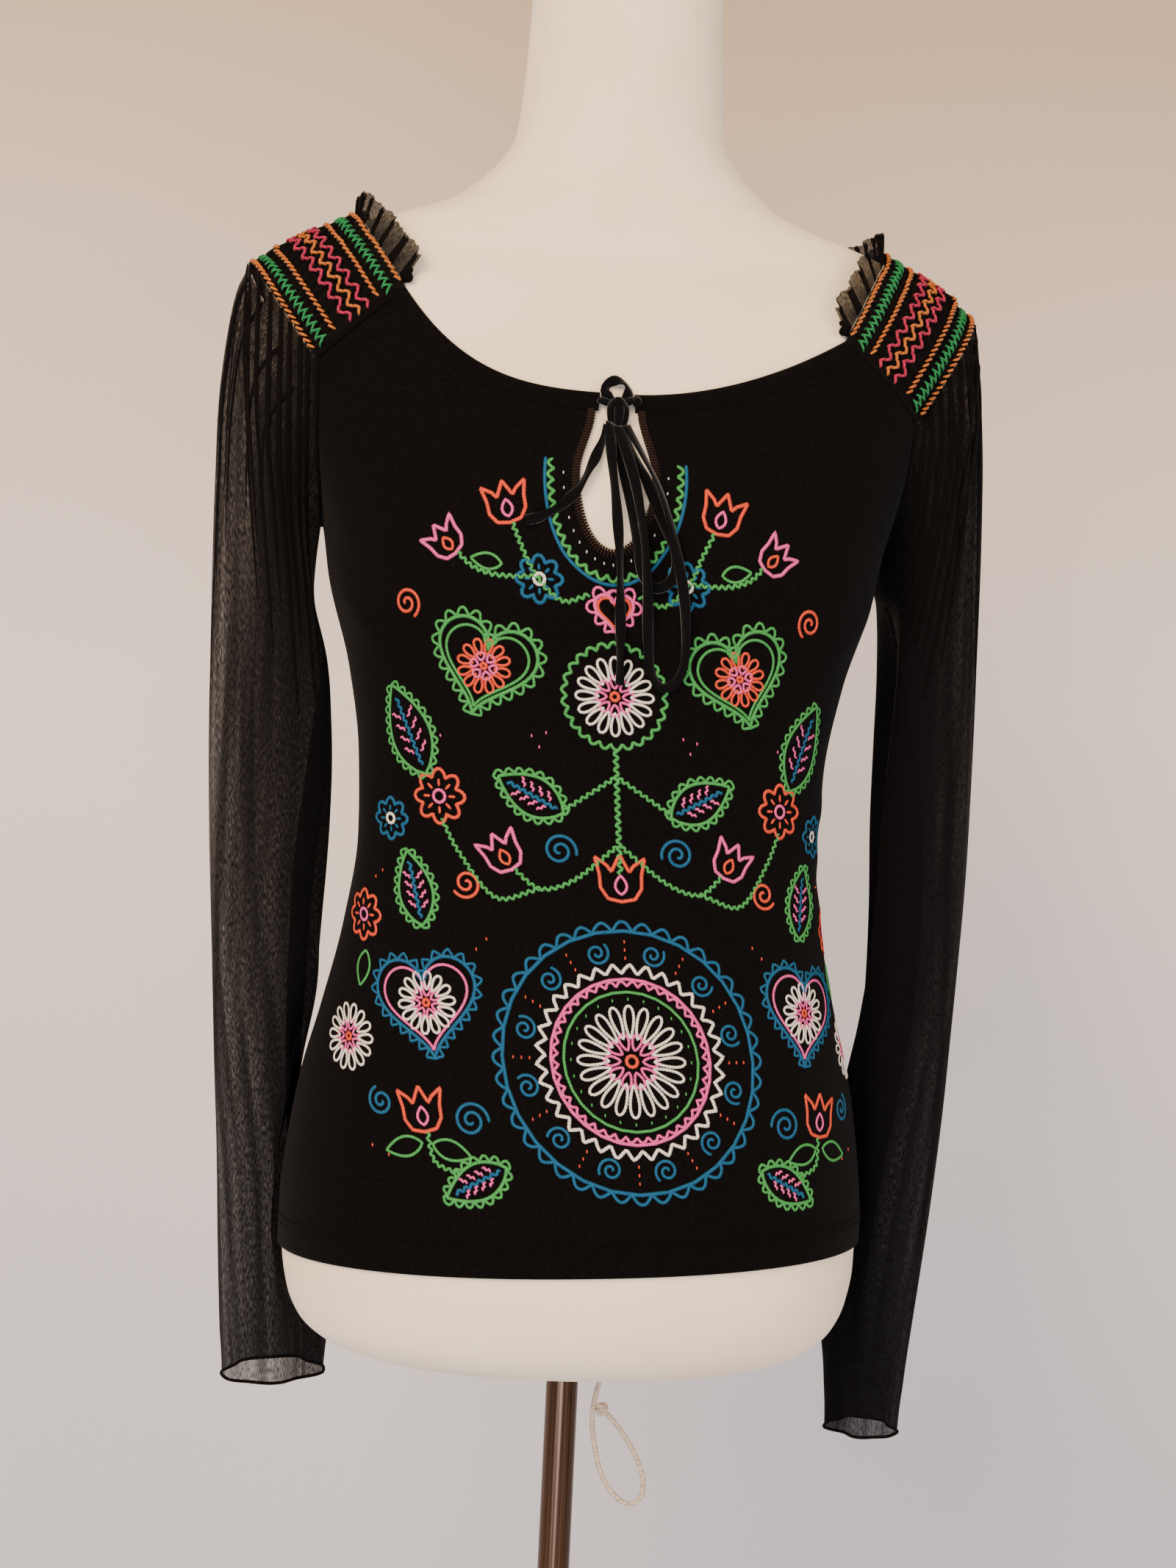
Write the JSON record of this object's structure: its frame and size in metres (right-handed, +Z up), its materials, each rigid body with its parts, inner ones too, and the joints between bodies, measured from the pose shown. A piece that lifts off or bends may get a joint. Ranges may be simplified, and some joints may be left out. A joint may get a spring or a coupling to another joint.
{
  "type": "long-sleeved top on a dress form",
  "caption": "Close-fitting jersey top with sheer long sleeves, smocked shoulders and a tied keyhole neck, worn by a limbless dress form on a pole with a round foot.",
  "frame": {"origin": "on the floor, under the middle of the pole", "axes": "+Z up along the pole, +X towards the wearer's left, -Y the way the front of the top faces"},
  "size_m": [0.4626, 0.32, 1.559],
  "materials": {
    "black_jersey": "matt knit",
    "black_chiffon": "sheer crepe",
    "black_velvet": "pile ribbon",
    "cream_cover": "matt knit",
    "cream_cotton": "braided",
    "bronzed_steel": "gloss"
  },
  "bodies": {
    "root": {"front_panel": "black_jersey", "back_panel": "black_jersey", "hem_front": "black_jersey", "hem_back": "black_jersey", "neck_casing_right": "black_jersey", "neck_casing_left": "black_jersey", "neck_casing_back": "black_jersey", "smocking_right": "black_chiffon", "smocking_left": "black_chiffon", "neck_ruffle_right": "black_chiffon", "neck_ruffle_left": "black_chiffon", "sleeve_right": "black_chiffon", "sleeve_left": "black_chiffon", "tie_knot": "black_velvet", "tie_loop_small": "black_velvet", "tie_loop_short": "black_velvet", "tie_loop_long": "black_velvet", "tie_tail_side": "black_velvet", "tie_tail_centre": "black_velvet", "form_torso": "cream_cover", "form_drawstring": "cream_cotton", "stand_pole": "bronzed_steel", "stand_foot": "bronzed_steel"}
  },
  "joints": []
}
